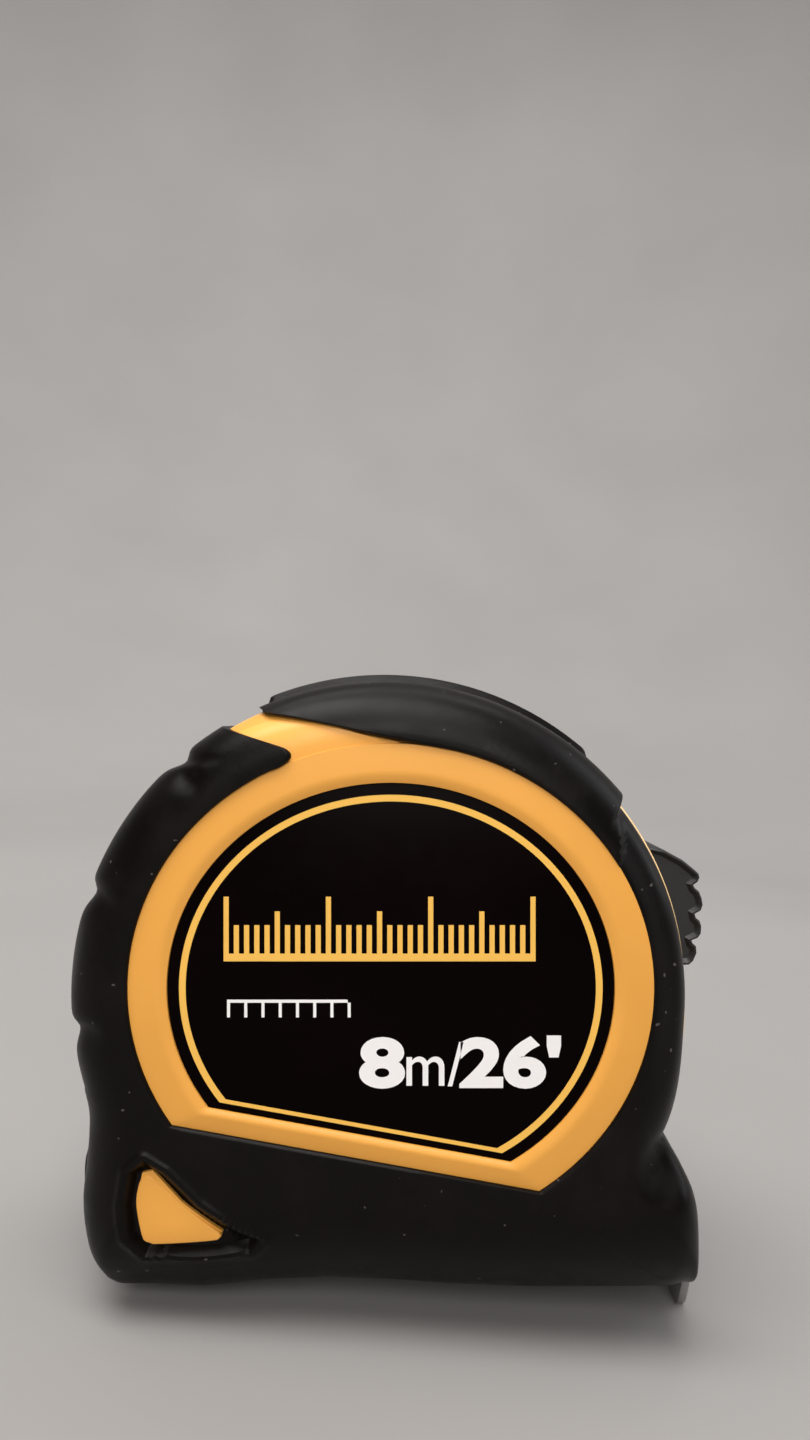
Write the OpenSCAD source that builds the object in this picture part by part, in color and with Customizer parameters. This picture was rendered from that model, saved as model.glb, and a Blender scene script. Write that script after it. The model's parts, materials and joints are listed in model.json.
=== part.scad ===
// Pocket tape measure standing on its base.
// X runs from the heel (-) to the mouth (+), Y from the labelled face (-) to the clip side (+),
// Z is up. The origin lies on the base plane, straight below the spool axis, in the seam plane.

/* [Blade] */
// Length of blade wound on the drum
blade_length = 8000; // [3000:500:10000]
// Width of the blade
blade_w = 25; // [19:1:30]
// Room that one turn takes up on the drum, coating and air included
blade_pitch = 0.19; // [0.15:0.01:0.24]
// Thickness of the coated blade
blade_t = 0.2; // [0.15:0.05:0.4]
// Radius across the crowned blade, as a share of its width
crown_share = 0.96; // [0.9:0.02:1.6]
// Height of the middle of the blade above the base, at the mouth
blade_z = 5; // [4.6:0.1:6]
// How far the straight stretch of blade can be drawn out
draw = 50; // [30:1:58]

/* [Spool] */
// Outside radius of the drum
drum_r = 19; // [16:0.5:24]
// Wall of the drum
drum_wall = 1.5; // [1:0.1:2.5]
// Radius of the fixed post on which the drum turns
post_r = 4; // [3.2:0.1:5]
// Radial running clearance between drum and post
post_gap = 0.08; // [0.05:0.01:0.15]
// Thickness of the power spring's strip
spring_t = 0.4; // [0.3:0.1:0.6]

/* [Case] */
// Wall of the moulded case halves
wall = 2.2; // [1.8:0.1:3]
// Thickness of the rubber over the case halves
grip_t = 1.6; // [1.2:0.1:2.2]
// Thickness of the rubber round the heel, the base and the mouth
foot_t = 3.4; // [2.4:0.1:4]
// Radial room between the coil and the case wall, where the brake arm runs
coil_room = 4.9; // [4.6:0.1:7]
// Room between the blade's edge and the inside face of the case
side_room = 4.2; // [3.4:0.1:6]
// Gap between the blade's edge and the guide ribs
side_gap = 0.7; // [0.4:0.1:1.2]
// Radius of the rubber where the round rim turns into the faces
edge_r = 7; // [5:0.5:8]
// Gap between the bottom of the round case and the base plane
axis_lift = 0.6; // [0.2:0.1:3]

/* [Foot] */
// Radius of the heel
heel_r = 11.7; // [9:0.1:14]
// Radius of the edges along the base
base_edge_r = 15; // [13:0.5:17]
// Height of the upright face of the mouth
mouth_h = 12.8; // [11.5:0.1:15]
// Height of the blade channel
channel_h = 7; // [6:0.1:8]

/* [Face] */
// Half width of the yellow ring
ring_a = 30.5; // [26:0.5:33]
// Half height of the yellow ring
ring_b = 28.4; // [24:0.5:31]
// Width of the yellow ring between label and rubber
ring_w = 4.5; // [3:0.1:6]
// Slope of the chord under the label
chord_slope = -0.175; // [-0.25:0.005:0]
// Thickness of the label plates
label_t = 0.4; // [0.3:0.1:0.8]

/* [Thumb lock] */
// Width of the thumb button
button_w = 13; // [10:0.5:16]
// Angle through which the lock slides, in degrees
lock_travel = 12; // [6:1:14]
// Thickness of the brake arm
arm_t = 2; // [1.6:0.1:2.4]

/* [End hook] */
// Thickness of the hook's steel
hook_t = 1; // [0.8:0.1:1.4]
// Reach of the hook below the middle of the blade
hook_reach = 10.5; // [8:0.5:14]
// Width of the hook at its top
hook_w = 21; // [16:1:24]
// Width of the hook's tip
hook_tip_w = 7; // [5:0.5:12]
// Play of the hook, equal to its own thickness, so inside and outside readings agree
hook_play = 1; // [0.8:0.1:1.4]

/* [Belt clip] */
// Width of the belt clip
clip_w = 14; // [10:1:20]
// Thickness of the clip's spring steel
clip_t = 1; // [0.8:0.1:1.4]
// Gap between the two leaves of the clip
clip_gap = 4.6; // [4.4:0.2:7]
// Length of the clip's outer leaf below the bend
clip_l = 36; // [28:1:44]

/* [Screws] */
// Radius of the screw shanks
screw_r = 1.4; // [1.2:0.1:1.6]
// Radius of the screw heads
head_r = 2.5; // [2.2:0.1:2.8]

/* [Hidden] */
$fn = 96;
tiny = 0.01;
far = 260;                 // longer than anything on the model

yellow = [0.90, 0.60, 0.22];
rubber_black = [0.05, 0.045, 0.045];
steel = [0.62, 0.63, 0.64];

// Radii from the drum outwards
coil_r = sqrt(drum_r * drum_r + blade_length * blade_pitch / PI);
cavity_r = coil_r + coil_room;
shell_r = cavity_r + wall;
case_r = shell_r + grip_t;
axis_z = case_r + axis_lift;

// Depths from the seam plane outwards
guide_y = blade_w / 2 + side_gap;
inner_y = blade_w / 2 + side_room;
shell_y = inner_y + wall;
half_t = shell_y + grip_t;
proud_gap = 0.8;           // the yellow face lies this far under the rubber's face
proud_root = 4;            // depth over which the yellow face stands on the shell's wall
face_y = half_t - proud_gap;
label_drop = 0.2;          // the label lies this far under the yellow ring
label_y = face_y - label_drop;

// Guide rib beside the coil, seat round the post, and webs of drum and lid
web_t = 1.2;
rib_t = 1.2;
rib_r = coil_r - 2;
seat_t = 2.4;

// Foot
heel_x = -case_r - 0.5;
waist_x = heel_x + 2;
mouth_x = case_r;
mouth_lean = 3.3;          // how far the mouth's sloping top runs back
mouth_top = 8;             // height of that slope
foot_corner_r = 6;
floor_t = 1;               // least thickness of the shell under the coil
mouth_edge = 1.3;          // small bevel under the mouth
waist_run = 9;             // how far the mouth block runs back into the round case
waist_drop = 6;            // how far under the axis it ends

// Ridge along the middle of the top
ridge_y = 9;
ridge_h = 1;

// Blade channel and mouth
channel_z = blade_z - 1.6;
channel_y = blade_w / 2 + 0.8;
channel_back = mouth_x - draw - 12.5;
tail_back = channel_back + 1;
blade_half = 0.976 * blade_w / 2;
crown_r = crown_share * blade_w;
crown_z = blade_z + crown_r;

// Ring, label and chord: one ellipse and one sloping chord, moved inwards step by step
ring_x = 1;
ring_z = axis_z + 1.9;
chord_z = ring_z - 20.4;
chord_step = 2.7;
rear_inset = 3.2;          // the rear ring is smaller, which leaves rubber round the screws

// Screws: two in the rim beside the coil, one in the heel, one over the mouth
boss_r = screw_r + 0.8;
boss_ring_r = cavity_r - boss_r + 0.1;
screw_gap = 0.15;
bite = 8;                  // length of thread in the far piece
head_h = 1.8;
head_deep = 1.2;
screw_l = shell_y - head_deep + bite;
screw_spots = [
    [boss_ring_r * cos(72), axis_z + boss_ring_r * sin(72)],
    [boss_ring_r * cos(150), axis_z + boss_ring_r * sin(150)],
    [heel_x + foot_t + 5, base_edge_r - 0.4],
    [mouth_x - foot_t - 5.3, channel_z + channel_h + 4]
];

// Thumb lock: the slider is an arc between coil and case wall
arm_out = cavity_r - 0.3;
arm_in = arm_out - arm_t;
arm_w = 10;
arm_low = -60;
lock_top = 25;
lock_low = 3;
neck_w = 8;
neck_top = 22;
neck_low = 6;
slot_gap = 0.3;
slot_play = 2;
button_in = shell_r + 0.35;
rail_in = button_w / 2 + 0.4;
rail_out = rail_in + 1.4;
rail_r = shell_r + 1;
track_low = -22;
track_high = 35;

// End hook
bumper_t = 0.5;
bumper_h = 0.6;
bumper_run = 2;
bumper_side = 2;
guide_back = 16;
guide_l = 13;
guide_side = 1.5;
guide_t = 0.6;
hook_x = mouth_x + bumper_t;
hook_top = blade_z + 4.2;
tongue_t = 0.7;
tongue_l = 12;
tongue_w = 14;
rivet_r = 1.1;
rivet_gap = 0.08;
rivet_head = 0.5;

// Belt clip
clip_y = half_t + 0.05;
clip_top = axis_z + 24;
clip_low = axis_z - 8;
leaf_y = clip_y + clip_t + clip_gap;

function ellipse(a, b, n) = [for (i = [0 : n - 1]) [a * cos(360 * i / n), b * sin(360 * i / n)]];

// Draws an outline in X and Z through the depths y0 to y1
module along_y(y0, y1) {
    translate([0, y1, 0]) rotate([90, 0, 0]) linear_extrude(y1 - y0) children();
}

// The same on one side of the seam only, between two distances from it
module face_slab(side, near, away) {
    along_y(side < 0 ? -away : near, side < 0 ? -near : away) children();
}

// Turns a profile of radius and depth round the spool axis
module around_axis() {
    translate([0, 0, axis_z]) rotate([90, 0, 0]) rotate_extrude() children();
}

// A cylinder or tube on the spool axis
module disc_y(r, y0, y1) {
    translate([0, y1, axis_z]) rotate([90, 0, 0]) cylinder(r = r, h = y1 - y0);
}

module tube_y(r_in, r_out, y0, y1) {
    difference() {
        disc_y(r_out, y0, y1);
        disc_y(r_in, y0 - 1, y1 + 1);
    }
}

// A pie slice round the spool axis, in X and Z
module slice_2d(r, a0, a1) {
    edge = 2 * r;
    mid = (a0 + a1) / 2;
    polygon([
        [0, 0],
        edge * [cos(a0), sin(a0)],
        1.5 * edge * [cos(mid), sin(mid)],
        edge * [cos(a1), sin(a1)]
    ]);
}

module arc_ring(r_in, r_out) {
    translate([0, axis_z]) difference() {
        circle(r_out);
        circle(r_in);
    }
}

module arc_2d(r_in, r_out, a0, a1) {
    translate([0, axis_z]) intersection() {
        difference() {
            circle(r_out);
            circle(r_in);
        }
        slice_2d(r_out, a0, a1);
    }
}

// Everything on one side of the seam
module keep_side(side) {
    intersection() {
        children();
        translate([-far / 2, side < 0 ? -far / 2 : 0, -far / 2]) cube([far, far / 2, far]);
    }
}

// Half profile of the round case, with its two edges rounded
module rim_profile(r, h, e) {
    translate([0, -h]) square([r - e, 2 * h]);
    translate([0, e - h]) square([r, 2 * (h - e)]);
    for (s = [-1, 1]) translate([r - e, s * (h - e)]) circle(e);
}

// A rectangle with rounded corners, from its low corner to its high corner
module rounded_rect(low, high, r) {
    translate([low[0] + r, low[1]]) square([high[0] - low[0] - 2 * r, high[1] - low[1]]);
    translate([low[0], low[1] + r]) square([high[0] - low[0], high[1] - low[1] - 2 * r]);
    for (x = [low[0] + r, high[0] - r], y = [low[1] + r, high[1] - r]) translate([x, y]) circle(r);
}

// Side view of the foot: round heel, waist, flat base and leaning mouth block
module foot_2d(inset) {
    translate([heel_x + heel_r, heel_r]) circle(heel_r - inset);
    translate([waist_x + inset, heel_r]) square([heel_r, axis_z / 2]);
    polygon([
        [heel_x + heel_r, inset],
        [mouth_x - mouth_edge, inset],
        [mouth_x - inset, max(mouth_edge, inset)],
        [mouth_x - inset, mouth_h - inset / 2],
        [mouth_x - mouth_lean - inset, mouth_h + mouth_top - inset],
        [mouth_x - mouth_lean - waist_run, axis_z - waist_drop],
        [waist_x + heel_r, axis_z - waist_drop],
        [heel_x + heel_r, heel_r]
    ]);
}

// A block as wide as the case, with the two long edges along the base rounded
module base_block(half, low, r) {
    translate([-far / 2, 0, 0]) rotate([90, 0, 90]) linear_extrude(far)
        rounded_rect([-half, low], [half, 3 * axis_z], r);
}

// The whole outside of the case, moved inwards by inset, and by foot_inset round the foot
module case_form(inset, foot_inset) {
    h = half_t - inset;
    intersection() {
        union() {
            around_axis() rim_profile(case_r - inset, h, edge_r - inset);
            intersection() {
                along_y(-h, h) foot_2d(foot_inset);
                linear_extrude(axis_z) rounded_rect(
                    [heel_x + foot_inset, -h], [mouth_x - foot_inset, h], foot_corner_r - inset
                );
            }
        }
        base_block(h, foot_inset, base_edge_r - inset);
    }
}

// The round room for the coil, kept clear of the rounded base edges
module cavity() {
    intersection() {
        disc_y(cavity_r, -inner_y, inner_y);
        base_block(inner_y, foot_t + floor_t, base_edge_r - grip_t - wall);
    }
}

// The ellipse and its chord, moved inwards by inset
module ring_2d(inset) {
    step = inset * chord_step / ring_w;
    intersection() {
        translate([ring_x, ring_z]) polygon(ellipse(ring_a - inset, ring_b - inset, 90));
        polygon([
            [-60, chord_z + step - 60 * chord_slope],
            [60, chord_z + step + 60 * chord_slope],
            [60, 160],
            [-60, 160]
        ]);
    }
}

// The band that runs from the ring up to the rim, above the rubber finger
module band_2d() {
    top = ring_z + ring_b;
    difference() {
        polygon([
            [2, top - 4],
            [2, top + 0.2],
            [-14, top + 3.6],
            [-22, top + 6],
            [-27, top + 2.6],
            [-19.6, top + 1.4],
            [-13.5, top - 0.3],
            [-12.6, top - 3.5]
        ]);
        translate([-12.4, top - 1.9]) circle(1.6);
    }
}

// The small window near the heel
module window_2d() {
    base = 11.2;
    left = heel_x + 11;
    polygon([
        [left, base],
        [left + 8.7, base + 0.6],
        [left + 4, base + 4.2],
        [left + 0.6, base + 7.9],
        [left - 0.6, base + 7.6],
        [left - 1.3, base + 4.4],
        [left - 1, base + 1.6]
    ]);
}

module yellow_2d(side) {
    if (side < 0) {
        ring_2d(0);
        band_2d();
        window_2d();
    } else {
        ring_2d(rear_inset);
    }
}

// The blade's way out, from behind the drum to the mouth
module blade_channel() {
    translate([channel_back, -channel_y, channel_z])
        cube([mouth_x - channel_back + 1, 2 * channel_y, channel_h]);
}

// The slot in the rim through which the lock's neck passes
module lock_slot() {
    along_y(-neck_w / 2 - slot_gap, neck_w / 2 + slot_gap)
        arc_2d(cavity_r - 1, case_r + 2, neck_low - lock_travel - slot_play, neck_top + slot_play);
}

// Finger notches along the heel side of the rim
module rim_notches() {
    for (a = [131, 161, 187])
        translate([(case_r + 2.3) * cos(a), 0, axis_z + (case_r + 2.3) * sin(a)])
            rotate([90, 0, 0]) cylinder(r = 3.2, h = 2 * half_t + 2, center = true);
}

module screw_holes(r, y0, y1) {
    for (p = screw_spots)
        translate([p[0], y1, p[1]]) rotate([90, 0, 0]) cylinder(r = r, h = y1 - y0);
}

// One moulded half of the case, with its guide rib, post seat and screw bosses
module shell(side) {
    label_inset = ring_w + (side > 0 ? rear_inset : 0);
    color(yellow) keep_side(side) difference() {
        union() {
            difference() {
                union() {
                    case_form(grip_t, foot_t);
                    intersection() {
                        case_form(proud_gap, proud_gap);
                        face_slab(side, shell_y - proud_root, half_t) yellow_2d(side);
                    }
                }
                cavity();
            }
            face_slab(side, guide_y, inner_y + tiny) {
                arc_ring(rib_r - rib_t, rib_r);
                arc_ring(post_r, post_r + seat_t);
            }
            intersection() {
                screw_holes(boss_r, -inner_y - tiny, inner_y + tiny);
                disc_y(cavity_r + tiny, -inner_y - tiny, inner_y + tiny);
            }
            face_slab(side, rail_in, rail_out)
                arc_2d(cavity_r + wall / 2, rail_r, track_low, track_high);
        }
        face_slab(side, label_y - label_t, half_t + 1) ring_2d(label_inset);
        blade_channel();
        lock_slot();
        if (side < 0) {
            screw_holes(screw_r, shell_y - head_deep - screw_l, 1);
        } else {
            screw_holes(screw_r + screw_gap, -1, half_t + 1);
            screw_holes(head_r + screw_gap, shell_y - head_deep, half_t + 1);
            disc_y(screw_r + screw_gap, post_r, half_t + 1);
        }
    }
}

module front_shell() { shell(-1); }

module rear_shell() { shell(1); }

// The soft rubber over one case half
module grip(side) {
    color(rubber_black) keep_side(side) difference() {
        union() {
            case_form(0, 0);
            along_y(-ridge_y, ridge_y) arc_2d(shell_r, case_r + ridge_h, 48, 112);
        }
        case_form(grip_t, foot_t);
        face_slab(side, shell_y - proud_root, half_t + 1) yellow_2d(side);
        blade_channel();
        lock_slot();
        rim_notches();
        along_y(-rail_out, rail_out) arc_2d(shell_r, case_r + 2, track_low, track_high);
        if (side > 0) screw_holes(head_r + screw_gap, shell_y - head_deep, half_t + 1);
    }
}

module front_grip() { grip(-1); }

module rear_grip() { grip(1); }

module front_label() {
    color([0.02, 0.02, 0.02]) along_y(-label_y, label_t - label_y) ring_2d(ring_w);
}

module rear_label() {
    color([0.03, 0.03, 0.03]) difference() {
        along_y(label_y - label_t, label_y) ring_2d(ring_w + rear_inset);
        disc_y(screw_r + screw_gap, 0, half_t + 1);
    }
}

// Spring steel strip folded over at the top, with a waisted outer leaf and a flared tip
module belt_clip() {
    r_in = clip_gap / 2;
    r_out = r_in + clip_t;
    bend_y = clip_y + clip_t + r_in;
    tip_y = leaf_y - 2.2;
    low = clip_top - clip_l;
    color(steel) difference() {
        union() {
            translate([-clip_w / 2, clip_y, clip_low]) cube([clip_w, clip_t, clip_top - clip_low]);
            translate([-clip_w / 2, 0, 0]) rotate([90, 0, 90]) linear_extrude(clip_w) intersection() {
                translate([bend_y, clip_top]) difference() {
                    circle(r_out);
                    circle(r_in);
                }
                translate([bend_y - r_out, clip_top - tiny]) square([2 * r_out, r_out + 1]);
            }
            translate([-clip_w / 2, 0, 0]) rotate([90, 0, 90]) linear_extrude(clip_w) polygon([
                [leaf_y, clip_top],
                [leaf_y + clip_t, clip_top],
                [leaf_y + clip_t, low + 8],
                [tip_y + clip_t, low + 3],
                [tip_y + clip_t + 1.6, low],
                [tip_y + 1.6, low],
                [tip_y, low + 3],
                [leaf_y, low + 8]
            ]);
        }
        disc_y(screw_r + screw_gap, clip_y - 1, clip_y + clip_t + 1);
        disc_y(head_r + 1, leaf_y - 3, leaf_y + clip_t + 1);
    }
}

// A pan head screw pointing to -Y, head end at y
module screw_y(y, l, head) {
    translate([0, y, 0]) rotate([90, 0, 0]) {
        difference() {
            cylinder(r = head_r, h = head);
            for (a = [0, 90]) rotate(a) translate([-1.5, -0.3, -1]) cube([3, 0.6, 1.9]);
        }
        translate([0, 0, head - tiny]) cylinder(r = screw_r, h = l);
    }
}

module clip_screw() {
    head = 1.6;
    color(steel) translate([0, 0, axis_z])
        screw_y(clip_y + clip_t + head, clip_y + clip_t - inner_y + bite, head);
}

module case_screws() {
    color(steel) for (p = screw_spots)
        translate([p[0], 0, p[1]]) screw_y(shell_y - head_deep + head_h, screw_l, head_h);
}

// The fixed post between the two case halves, slotted for the spring's inner end
module post() {
    slit_w = 0.6;
    slit_end = 3;
    color(steel) difference() {
        disc_y(post_r, -inner_y, inner_y);
        translate([-slit_w / 2, slit_end - blade_w / 2, axis_z])
            cube([slit_w, blade_w - 2 * slit_end, post_r + 1]);
        disc_y(screw_r, inner_y - bite - 1, inner_y + 1);
    }
}

// The spring wound out against the drum's wall, with an arm in to the post's slot
module power_spring() {
    free = 0.4;
    out = drum_r - drum_wall - free;
    turns = 6;
    step = 2 * spring_t;
    parts = 30;
    side = 2.2;
    half = blade_w / 2 - side;
    steps = turns * parts;
    inner = out - turns * step;
    angles = [for (i = [0 : steps]) 90 + 360 * i / parts];
    radii = [for (i = [0 : steps]) out - step * i / parts];
    outer_line = [for (i = [0 : steps]) radii[i] * [cos(angles[i]), sin(angles[i])]];
    inner_line = [for (i = [0 : steps]) let (j = steps - i)
        (radii[j] - spring_t) * [cos(angles[j]), sin(angles[j])]];
    color([0.30, 0.36, 0.48]) {
        along_y(-half, half) translate([0, axis_z]) polygon(concat(outer_line, inner_line));
        translate([-spring_t / 2, -half, axis_z + post_r - 1])
            cube([spring_t, 2 * half, inner - spring_t / 2 - post_r + 1]);
    }
}

// The drum: an open cup with a hub on its rear web
module drum() {
    y = blade_w / 2;
    color([0.16, 0.16, 0.17]) {
        tube_y(drum_r - drum_wall, drum_r, -y, y);
        tube_y(post_r + post_gap, drum_r - drum_wall + tiny, y - web_t, y);
        tube_y(post_r + post_gap, post_r + 2, y, guide_y - 0.1);
    }
}

module drum_lid() {
    y = blade_w / 2;
    color([0.22, 0.22, 0.23]) tube_y(post_r + post_gap, drum_r - drum_wall, -y, web_t - y);
}

module blade_coil() {
    color([0.93, 0.76, 0.12]) tube_y(drum_r, coil_r, -blade_w / 2, blade_w / 2);
}

// Cross-section of the crowned blade, moved up by lift and cut to a half width
module crown_2d(half, t, lift) {
    a = asin(half / crown_r);
    translate([0, crown_z]) intersection() {
        difference() {
            circle(crown_r - lift);
            circle(crown_r - lift - t);
        }
        polygon([
            [0, 0],
            2 * crown_r * [-sin(a), -cos(a)],
            [0, -3 * crown_r],
            2 * crown_r * [sin(a), -cos(a)]
        ]);
    }
}

// Draws a cross-section in Y and Z through the lengths x0 to x1
module along_x(x0, x1) {
    translate([x0, 0, 0]) rotate([90, 0, 90]) linear_extrude(x1 - x0) children();
}

module blade_tail() {
    color([0.93, 0.76, 0.12]) difference() {
        along_x(tail_back, hook_x - 0.2) crown_2d(blade_half, blade_t, 0);
        for (p = rivet_spots()) translate([p[0], p[1], 0]) cylinder(r = rivet_r, h = 20);
    }
}

function rivet_spots() = [[hook_x - 4, 0], [hook_x - 9, -3.4], [hook_x - 9, 3.4]];

// Hook plate across the mouth, with a tongue that lies in the blade's trough
module end_hook() {
    low = blade_z - hook_reach;
    color(steel) difference() {
        union() {
            along_x(hook_x, hook_x + hook_t) polygon([
                [-hook_w / 2, hook_top],
                [hook_w / 2, hook_top],
                [hook_w / 2, hook_top - 3.5],
                [hook_tip_w / 2 + 1.2, low + 1],
                [hook_tip_w / 2, low],
                [-hook_tip_w / 2, low],
                [-hook_tip_w / 2 - 1.2, low + 1],
                [-hook_w / 2, hook_top - 3.5]
            ]);
            along_x(hook_x - tongue_l, hook_x + tiny) crown_2d(tongue_w / 2, tongue_t, blade_t + 0.02);
        }
        for (p = rivet_spots()) translate([p[0], p[1], blade_z - 1]) play_slot();
    }
}

// A slot as long as the hook's play, for a rivet at its front end
module play_slot() {
    r = rivet_r + rivet_gap;
    for (x = [-hook_play, 0]) translate([x, 0, 0]) cylinder(r = r, h = 6);
    translate([-hook_play, -r, 0]) cube([hook_play, 2 * r, 6]);
}

// Rivets that hold the tongue, with room for the hook to float
module hook_rivets() {
    color(steel) for (p = rivet_spots()) {
        dip = crown_r - sqrt(crown_r * crown_r - p[1] * p[1]);
        foot = blade_z + dip;
        top = foot + blade_t + tongue_t + 0.4;
        under = foot - 0.25;
        translate([p[0], p[1], under - tiny]) cylinder(r = rivet_r, h = top - under + 2 * tiny);
        translate([p[0], p[1], top]) cylinder(r = rivet_r + 0.7, h = rivet_head);
        translate([p[0], p[1], under - rivet_head]) cylinder(r = rivet_r + 0.5, h = rivet_head);
    }
}

// Rubber stop under the mouth that the hook lands on
module mouth_bumper() {
    color([0.1, 0.1, 0.1])
        translate([mouth_x - bumper_run, bumper_side - blade_w / 2, channel_z])
            cube([bumper_run + bumper_t, blade_w - 2 * bumper_side, bumper_h]);
}

// Wear plate under the blade behind the mouth
module mouth_guide() {
    color([0.75, 0.76, 0.78])
        translate([mouth_x - guide_back, guide_side - blade_w / 2, channel_z])
            cube([guide_l, blade_w - 2 * guide_side, guide_t]);
}

// Ridged thumb button that leans up from the rim
module lock_button() {
    ridge_r = 1.45;
    rise = [[20.5, 2.2], [15.8, 3.0], [10.9, 2.3], [6.0, 1.4]];
    color([0.14, 0.14, 0.14]) along_y(-button_w / 2, button_w / 2) {
        arc_2d(button_in, case_r + 1.2, lock_low, lock_top);
        for (s = rise)
            translate([(case_r + s[1]) * cos(s[0]), axis_z + (case_r + s[1]) * sin(s[0])])
                circle(ridge_r);
        arc_2d(button_in, case_r + 2.2, lock_low + 7, lock_top - 4);
    }
    color([0.14, 0.14, 0.14]) along_y(-neck_w / 2, neck_w / 2)
        arc_2d(arm_out, button_in + tiny, neck_low, neck_top);
}

// Brake arm: it wedges over the blade when the button is pushed down
module lock_slider() {
    color([0.16, 0.16, 0.17]) along_y(-arm_w / 2, arm_w / 2) {
        arc_2d(arm_in, arm_out, arm_low, lock_top);
    }
}

// Leaf under the slider that keeps it in either place
module lock_spring() {
    leaf_gap = 1;
    leaf_t = 0.3;
    color(steel) along_y(-3, 3) {
        arc_2d(arm_in - leaf_gap, arm_in - leaf_gap + leaf_t, -10, neck_top - 2);
        arc_2d(arm_in - leaf_gap, arm_in, neck_top - 5, neck_top - 2);
    }
}

front_shell();
rear_shell();
front_grip();
rear_grip();
front_label();
rear_label();
belt_clip();
clip_screw();
case_screws();
post();
power_spring();
drum();
drum_lid();
blade_coil();
blade_tail();
end_hook();
hook_rivets();
mouth_bumper();
mouth_guide();
lock_button();
lock_slider();
lock_spring();
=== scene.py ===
import json
import math

import bmesh
import bpy
import numpy as np
from mathutils import Matrix, Vector


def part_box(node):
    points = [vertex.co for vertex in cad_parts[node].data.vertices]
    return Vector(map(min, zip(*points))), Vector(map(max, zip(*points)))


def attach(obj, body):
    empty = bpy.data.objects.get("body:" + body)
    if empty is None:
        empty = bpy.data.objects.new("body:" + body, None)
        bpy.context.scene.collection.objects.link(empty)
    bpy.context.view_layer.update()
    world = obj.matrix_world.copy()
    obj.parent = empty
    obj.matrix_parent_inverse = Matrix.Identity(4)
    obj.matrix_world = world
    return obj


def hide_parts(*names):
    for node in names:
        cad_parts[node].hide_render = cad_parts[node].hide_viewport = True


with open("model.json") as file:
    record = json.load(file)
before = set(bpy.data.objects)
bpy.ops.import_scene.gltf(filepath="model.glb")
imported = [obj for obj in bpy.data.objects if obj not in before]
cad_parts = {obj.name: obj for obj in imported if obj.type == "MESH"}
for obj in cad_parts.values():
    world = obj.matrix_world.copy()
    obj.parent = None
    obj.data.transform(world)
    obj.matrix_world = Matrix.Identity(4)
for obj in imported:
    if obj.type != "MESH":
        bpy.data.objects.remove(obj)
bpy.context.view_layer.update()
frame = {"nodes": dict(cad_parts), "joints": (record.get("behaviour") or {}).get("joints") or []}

# Shapes below are worked out in millimetres, in the frame's own axes, and scaled once when a mesh is made.
MM = 0.001


def span(node):
    """Lowest and highest corner of a CAD node in millimetres."""
    low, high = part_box(node)
    return low / MM, high / MM


def joint_named(name):
    return next(j for j in frame["joints"] if j["name"] == name)


grip_low, grip_high = span("front_grip")
label_low, label_high = span("front_label")
shell_low = span("front_shell")[0]
tail_high = span("blade_tail")[1]

AXIS_Z = joint_named("spool_spin")["pos_m"][2] / MM
CASE_R = grip_high.x                # outside radius of the round case
HALF_T = -grip_low.y                # from the seam to the rubber's face
GRIP_T = 1.6                        # thickness of the rubber
EDGE_R = 7.0                        # rounding between rim and face
BASE_EDGE_R = 15.0                  # rounding along the base
FOOT_T = 3.4                        # thickness of the rubber round the mouth
RING_X = (label_low.x + label_high.x) / 2
RING_Z = AXIS_Z + 1.9
RING_A = (label_high.x - label_low.x) / 2 + 4.5
RING_B = label_high.z - RING_Z + 4.5
RING_W = 4.5                        # width of the yellow ring
CHORD_Z = RING_Z - 20.35            # height of the chord at RING_X
CHORD_SLOPE = -0.18
CHORD_STEP = 0.6                    # the chord's edge moves up by this share of an inset
REAR_INSET = 3.2                    # the rear ring is smaller all round
MOUTH_STOP = -shell_low.y - 5.6     # half width of the blade's opening
MOUTH_LOW = 3.4
MOUTH_HIGH = 10.4
RAIL_STOP = 8.3                     # half width of the lock's track
TRACK = (-22.0, 35.0)               # the track's ends, in degrees round the axis
RIDGE_Y = 9.0                       # half width of the ridge over the top
FOOT = [(-36.2, 27.2), (-35.6, 24.4), (-35.6, 21.5), (-35.9, 18), (-36.3, 14), (-36.0, 10.3), (-35.2, 7.2),
        (-33.3, 4.1), (-31.2, 1.6), (-28.2, 0.35), (-22, 0.1), (-14, 0.9), (-7, 1.2), (1, 0.85), (9, 0.3),
        (18, 0), (28, 0), (35, 0.05), (36.8, 0.5), (37.6, 1.6), (37.77, 4), (37.77, 11), (37.3, 14.6),
        (36.2, 17.4), (34.9, 19.8), (33.9, 21.6)]
WINDOW = [(-27.5, 18.5), (-27.0, 18.5), (-26.5, 18.1), (-22.4, 14.4), (-18.9, 11.8), (-18.7, 11.4),
          (-19.1, 11.0), (-22, 10.7), (-26.6, 10.5), (-27.5, 10.8), (-28.0, 11.7), (-28.6, 15.2),
          (-28.2, 17.7)]
HOLLOW = [(-27.6, 20.3), (-25.3, 18.9), (-21.4, 15.1), (-17.2, 12.1), (-14.2, 10.6), (-15.4, 9.5),
          (-22, 9.1), (-27.6, 9.0), (-29.5, 11.2), (-29.9, 15.2), (-29.3, 18.9)]


# ---------------------------------------------------------------- outlines

def smooth(low, high, value):
    """0 at low, 1 at high, with a soft start and end. It falls when low is above high."""
    share = np.clip((np.asarray(value, float) - low) / (high - low), 0, 1)
    return share * share * (3 - 2 * share)


def rim_point(degrees, radius=None):
    a = math.radians(degrees)
    r = CASE_R if radius is None else radius
    return r * math.cos(a), AXIS_Z + r * math.sin(a)


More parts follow.
